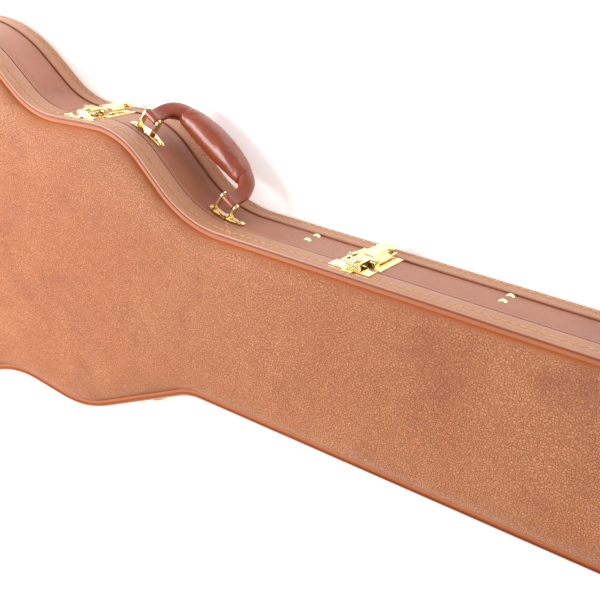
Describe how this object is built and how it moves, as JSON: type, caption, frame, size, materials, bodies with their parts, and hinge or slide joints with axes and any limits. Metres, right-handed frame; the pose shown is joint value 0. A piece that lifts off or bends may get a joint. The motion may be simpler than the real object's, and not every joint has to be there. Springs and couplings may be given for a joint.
{
  "type": "guitar case",
  "caption": "Arched hard-shell guitar case: padded carry handle, draw latches, hinged lid, stitched leatherette shell, plush body cavity and accessory compartment.",
  "frame": {"origin": "on the flat back face of the closed case, on the centre line of the neck section", "axes": "+X to the headstock end, +Y to the handle side, +Z out of the lid; the case lies on its back with the lid up"},
  "size_m": [1.1304, 0.4675, 0.113],
  "materials": {
    "grained_cover": "pebble-grained tan leatherette, mottled",
    "stitched_band": "smooth tan leatherette band with a line of gold stitching",
    "edge_trim": "smooth pale piping and rim binding",
    "handle_leather": "smooth reddish-brown leather, satin gloss",
    "gold_hardware": "polished pale gold plating",
    "plywood": "birch plywood, satin",
    "foam": "dark open-cell foam",
    "plush_lining": "deep wine-red plush pile"
  },
  "bodies": {
    "base": {"back_panel": "plywood", "base_side_wall": "plywood", "base_covering": "grained_cover", "back_band": "stitched_band", "base_rim_trim": "edge_trim", "dust_lip": "plush_lining", "body_foam": "foam", "head_foam": "foam", "plush_floor": "plush_lining", "neck_cradle": "plush_lining", "body_partition": "plywood", "head_partition": "plywood", "partition_rivets": "gold_hardware", "handle_bracket_1": "gold_hardware", "handle_bracket_2": "gold_hardware", "handle_pin_1": "gold_hardware", "handle_pin_2": "gold_hardware", "bracket_screws": "gold_hardware", "latch_plate_1": "gold_hardware", "latch_plate_2": "gold_hardware", "latch_plate_3": "gold_hardware", "latch_plate_4": "gold_hardware", "lever_pins": "gold_hardware", "latch_rivets": "gold_hardware", "hinge_base_leaf_1": "gold_hardware", "hinge_base_leaf_2": "gold_hardware", "hinge_pin_1": "gold_hardware", "hinge_pin_2": "gold_hardware", "hinge_base_rivets": "gold_hardware", "hinge_base_packing": "edge_trim"},
    "lid": {"lid_side_wall": "plywood", "lid_top_panel": "grained_cover", "lid_band": "stitched_band", "lid_edge_bead": "edge_trim", "lid_rim_trim": "edge_trim", "lid_foam": "foam", "lid_lining": "plush_lining", "latch_keeper_1": "gold_hardware", "latch_keeper_2": "gold_hardware", "latch_keeper_3": "gold_hardware", "latch_keeper_4": "gold_hardware", "keeper_rivets": "gold_hardware", "hinge_lid_leaf_1": "gold_hardware", "hinge_lid_leaf_2": "gold_hardware", "hinge_lid_rivets": "gold_hardware", "hinge_lid_packing": "edge_trim"},
    "handle": {"handle_grip": "handle_leather", "handle_core": "plywood", "handle_strap_1": "handle_leather", "handle_strap_2": "handle_leather"},
    "compartment": {"compartment_lid": "plush_lining", "compartment_pull_tab": "plush_lining"},
    "lever_1": {"latch_lever_1": "gold_hardware"},
    "lever_2": {"latch_lever_2": "gold_hardware"},
    "lever_3": {"latch_lever_3": "gold_hardware"},
    "lever_4": {"latch_lever_4": "gold_hardware"},
    "hook_1": {"latch_hook_1": "gold_hardware"},
    "hook_2": {"latch_hook_2": "gold_hardware"},
    "hook_3": {"latch_hook_3": "gold_hardware"},
    "hook_4": {"latch_hook_4": "gold_hardware"}
  },
  "joints": [
    {"name": "lid_hinge", "type": "hinge", "parent": "base", "child": "lid", "pos_m": [-0.43354, -0.22216, 0.0714], "axis": [0.9914, 0.1308, 0], "range_deg": [0, 105]},
    {"name": "compartment_hinge", "type": "hinge", "parent": "base", "child": "compartment", "pos_m": [0, -0.0835, 0.0555], "axis": [1, 0, 0], "range_deg": [0, 95]},
    {"name": "handle_swing", "type": "hinge", "parent": "base", "child": "handle", "pos_m": [-0.07752, 0.14624, 0.0595], "axis": [0.854, -0.5203, 0], "range_deg": [-14, 145]},
    {"name": "lever_1_pivot", "type": "hinge", "parent": "base", "child": "lever_1", "pos_m": [-0.20828, 0.1723, 0.065], "axis": [0.9981, 0.0624, 0], "range_deg": [0, 85]},
    {"name": "hook_1_pivot", "type": "hinge", "parent": "lever_1", "child": "hook_1", "pos_m": [-0.20825, 0.17181, 0.058], "axis": [0.9981, 0.0624, 0], "range_deg": [-95, 0]},
    {"name": "lever_2_pivot", "type": "hinge", "parent": "base", "child": "lever_2", "pos_m": [0.1385, 0.0995, 0.065], "axis": [1, 0, 0], "range_deg": [0, 85]},
    {"name": "hook_2_pivot", "type": "hinge", "parent": "lever_2", "child": "hook_2", "pos_m": [0.1385, 0.099, 0.058], "axis": [1, 0, 0], "range_deg": [-95, 0]},
    {"name": "lever_3_pivot", "type": "hinge", "parent": "base", "child": "lever_3", "pos_m": [-0.09097, -0.12889, 0.065], "axis": [-0.8921, -0.4518, 0], "range_deg": [0, 85]},
    {"name": "hook_3_pivot", "type": "hinge", "parent": "lever_3", "child": "hook_3", "pos_m": [-0.09119, -0.12845, 0.058], "axis": [-0.8921, -0.4518, 0], "range_deg": [-95, 0]},
    {"name": "lever_4_pivot", "type": "hinge", "parent": "base", "child": "lever_4", "pos_m": [-0.48087, 0.23351, 0.065], "axis": [0.9812, 0.193, 0], "range_deg": [0, 85]},
    {"name": "hook_4_pivot", "type": "hinge", "parent": "lever_4", "child": "hook_4", "pos_m": [-0.48077, 0.23302, 0.058], "axis": [0.9812, 0.193, 0], "range_deg": [-95, 0]}
  ],
  "couplings": [
    {"joint": "compartment_hinge", "follows": "lid_hinge", "ratio": 0.85},
    {"joint": "hook_1_pivot", "follows": "lever_1_pivot", "ratio": -1.1},
    {"joint": "hook_2_pivot", "follows": "lever_2_pivot", "ratio": -1.1},
    {"joint": "hook_3_pivot", "follows": "lever_3_pivot", "ratio": -1.1},
    {"joint": "hook_4_pivot", "follows": "lever_4_pivot", "ratio": -1.1}
  ]
}
